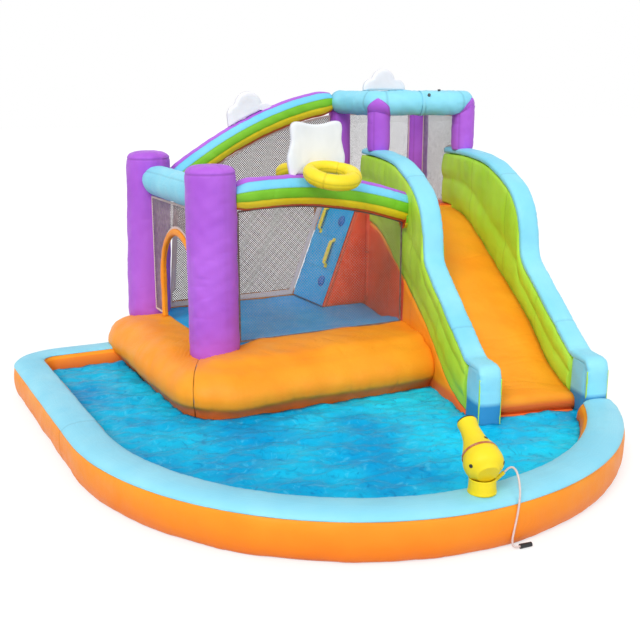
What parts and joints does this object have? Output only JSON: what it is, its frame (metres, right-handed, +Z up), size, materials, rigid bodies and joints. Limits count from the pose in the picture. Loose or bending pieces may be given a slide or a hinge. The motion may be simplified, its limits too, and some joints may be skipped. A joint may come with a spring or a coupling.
{
  "type": "inflatable playhouse",
  "caption": "Inflatable playhouse with netted bounce room, climbing ramp, tower, slide, arches, hoops and a splash pool with a swivelling water cannon.",
  "frame": {"origin": "middle of the footprint, on the ground, without the hose and its connector", "axes": "+X to the right along the house's front, +Y to the back, +Z up"},
  "size_m": [3.5259, 4.0972, 2.1405],
  "materials": {
    "orange": "coated woven fabric, satin",
    "purple": "coated woven fabric, satin",
    "light_blue": "coated woven fabric, satin",
    "green": "coated woven fabric, satin; the arches are banded purple, blue, green and yellow",
    "yellow": "coated woven fabric, satin",
    "floor_blue": "coated woven fabric, satin",
    "net": "knitted net with a woven hem",
    "white": "coated woven fabric, satin",
    "cloud": "foam-filled fabric, matt",
    "cannon": "moulded, glossy",
    "black": "moulded, matt",
    "webbing": "woven webbing",
    "strap": "moulded, matt",
    "hose": "soft clear tube"
  },
  "bodies": {
    "playhouse": {"air_inlet_sleeve": "orange", "back_arch": "green", "back_bolster": "orange", "back_net": "net", "backboard": "white", "bounce_floor": "floor_blue", "cannon_fitting": "cannon", "cannon_neck": "cannon", "climb_handle_lower": "yellow", "climb_handle_upper": "yellow", "climb_hold_lower": "floor_blue", "climb_hold_upper": "floor_blue", "climb_panel": "floor_blue", "climb_wedge": "orange", "cloud_left": "cloud", "cloud_rear": "cloud", "entry_beam": "light_blue", "entry_door_trim": "orange", "entry_mesh": "net", "floor_baffle_1": "white", "floor_baffle_2": "white", "floor_baffle_3": "white", "floor_baffle_4": "white", "front_arch": "green", "front_bolster": "orange", "front_net": "net", "hose": "hose", "hose_connector": "black", "inlet_strap": "webbing", "left_bolster": "orange", "pool_floor": "floor_blue", "pool_rim_panel": "light_blue", "pool_wall": "orange", "post_back_left": "purple", "post_back_right": "purple", "post_front_left": "purple", "slide_bed": "orange", "slide_rim_left": "light_blue", "slide_rim_right": "light_blue", "slide_wall_left": "green", "slide_wall_right": "green", "slide_wedge": "orange", "sprinkler_strap": "webbing", "sprinkler_tab_1": "black", "sprinkler_tab_2": "black", "tower_back_net": "net", "tower_base": "orange", "tower_post_back_right": "purple", "tower_post_front_left": "purple", "tower_post_front_right": "purple", "tower_right_net": "net", "tower_ring": "light_blue"},
    "cannon_head": {"cannon_head": "cannon", "cannon_muzzle_ring": "black", "cannon_eye_left": "black", "cannon_eye_right": "black", "cannon_nostril": "black", "cannon_strap": "strap"},
    "outer_hoop": {"outer_hoop": "yellow"},
    "inner_hoop": {"inner_hoop": "yellow"}
  },
  "joints": [
    {"name": "cannon_swivel", "type": "hinge", "parent": "playhouse", "child": "cannon_head", "pos_m": [-0.277, -1.9155, 0.39], "axis": [0, 0, 1], "range_deg": [-35, 35]},
    {"name": "outer_hoop_flex", "type": "hinge", "parent": "playhouse", "child": "outer_hoop", "pos_m": [0.047, 0.2612, 1.52], "axis": [1, 0, 0], "range_deg": [-20, 30], "stiffness_Nm_per_rad": 10},
    {"name": "inner_hoop_flex", "type": "hinge", "parent": "playhouse", "child": "inner_hoop", "pos_m": [0.047, 0.3818, 1.52], "axis": [1, 0, 0], "range_deg": [-30, 20], "stiffness_Nm_per_rad": 10}
  ]
}
